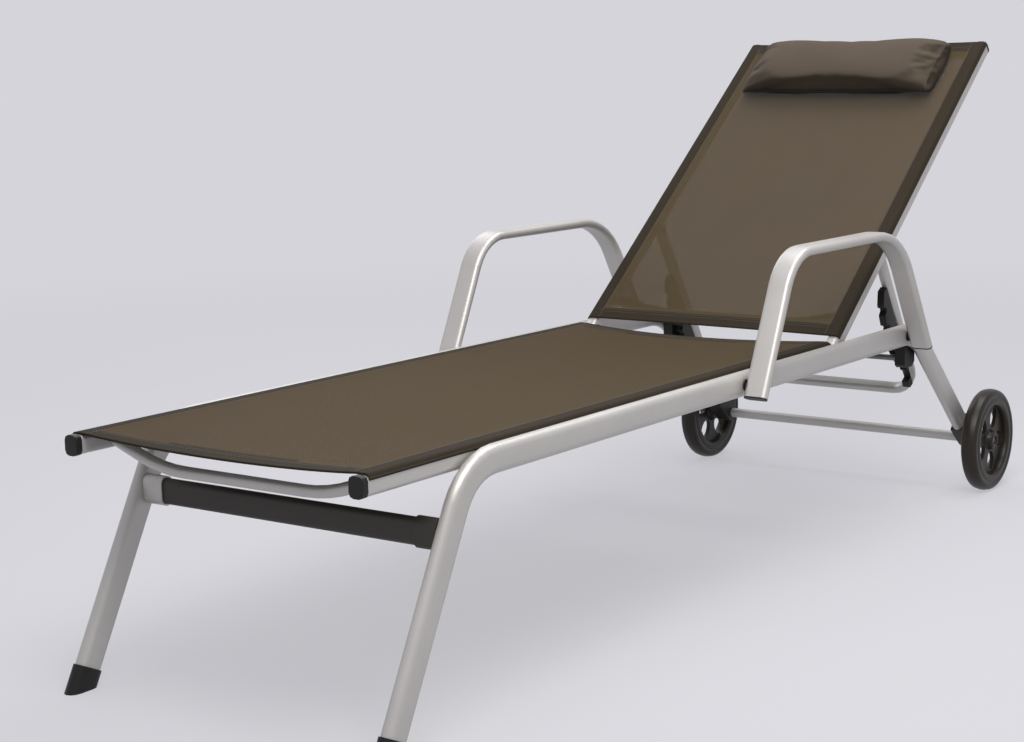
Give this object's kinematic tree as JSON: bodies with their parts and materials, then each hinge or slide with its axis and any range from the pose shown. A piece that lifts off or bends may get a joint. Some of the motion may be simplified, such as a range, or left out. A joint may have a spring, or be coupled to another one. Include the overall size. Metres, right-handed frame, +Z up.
{
  "type": "reclining sun lounger",
  "caption": "Aluminium sun lounger with a textile seat and reclining backrest, head pillow, fixed armrests, notched stay and transport wheels.",
  "frame": {"origin": "centre of the bounding box, on the ground", "axes": "+X across the lounger, to the right as seen from the foot end; +Y from the foot end to the head end; +Z up"},
  "size_m": [0.6246, 1.7827, 0.8149],
  "materials": {
    "silver_aluminium": "satin silver-champagne coating on aluminium tube",
    "dark_coating": "dark brown-black coating on aluminium tube",
    "dark_steel": "dull dark steel",
    "black_plastic": "fine moulded grain",
    "wheel_plastic": "fine moulded grain, very dark brown",
    "sling_textile": "open basket weave of coated yarn, taupe",
    "pillow_textile": "padded woven cover, taupe"
  },
  "bodies": {
    "frame": {"armrest_bolt_front_left": "dark_steel", "armrest_bolt_front_right": "dark_steel", "armrest_bolt_rear_left": "dark_steel", "armrest_bolt_rear_right": "dark_steel", "armrest_left": "silver_aluminium", "armrest_plug_front_left": "black_plastic", "armrest_plug_front_right": "black_plastic", "armrest_plug_rear_left": "black_plastic", "armrest_plug_rear_right": "black_plastic", "armrest_right": "silver_aluminium", "armrest_spacer_front_left": "black_plastic", "armrest_spacer_front_right": "black_plastic", "armrest_spacer_rear_left": "black_plastic", "armrest_spacer_rear_right": "black_plastic", "axle_rod": "dark_steel", "axle_tube": "silver_aluminium", "catch_rod": "dark_steel", "catch_rod_block_left": "black_plastic", "catch_rod_block_right": "black_plastic", "crossbar_saddle_left": "silver_aluminium", "crossbar_saddle_right": "dark_coating", "foot_bow": "silver_aluminium", "foot_cap_left": "black_plastic", "foot_cap_right": "black_plastic", "front_leg_crossbar": "dark_coating", "hinge_bolt_left": "dark_steel", "hinge_bolt_right": "dark_steel", "rail_front_cap_left": "black_plastic", "rail_front_cap_right": "black_plastic", "rail_rear_cap_left": "black_plastic", "rail_rear_cap_right": "black_plastic", "seat_rear_bow": "silver_aluminium", "seat_sling": "sling_textile", "side_tube_left": "silver_aluminium", "side_tube_right": "silver_aluminium", "sling_rail_left": "silver_aluminium", "sling_rail_right": "silver_aluminium", "wheel_bracket_left": "black_plastic", "wheel_bracket_right": "black_plastic"},
    "backrest": {"backrest_foot_cap_left": "black_plastic", "backrest_foot_cap_right": "black_plastic", "backrest_head_cap_left": "black_plastic", "backrest_head_cap_right": "black_plastic", "backrest_lower_bow": "silver_aluminium", "backrest_rail_left": "silver_aluminium", "backrest_rail_right": "silver_aluminium", "backrest_sling": "sling_textile", "backrest_top_tube": "silver_aluminium", "head_pillow": "pillow_textile", "stay_pivot_left": "dark_steel", "stay_pivot_right": "dark_steel"},
    "stay": {"stay_rack_left": "black_plastic", "stay_rack_right": "black_plastic", "stay_tube": "silver_aluminium"},
    "left_wheel": {"wheel_left": "wheel_plastic", "hub_cap_left": "wheel_plastic"},
    "right_wheel": {"wheel_right": "wheel_plastic", "hub_cap_right": "wheel_plastic"}
  },
  "joints": [
    {"name": "recline", "type": "hinge", "parent": "frame", "child": "backrest", "pos_m": [0, 0.283, 0.3275], "axis": [1, 0, 0], "range_deg": [-38.5, 13]},
    {"name": "stay_swing", "type": "hinge", "parent": "backrest", "child": "stay", "pos_m": [0, 0.47834, 0.48288], "axis": [1, 0, 0], "range_deg": [-15.5, 44.5]},
    {"name": "left_wheel_spin", "type": "hinge", "parent": "frame", "child": "left_wheel", "pos_m": [-0.295, 0.787, 0.093], "axis": [1, 0, 0], "continuous": true},
    {"name": "right_wheel_spin", "type": "hinge", "parent": "frame", "child": "right_wheel", "pos_m": [0.295, 0.787, 0.093], "axis": [1, 0, 0], "continuous": true}
  ],
  "couplings": [
    {"joint": "stay_swing", "follows": "recline", "ratio": -1.14}
  ]
}
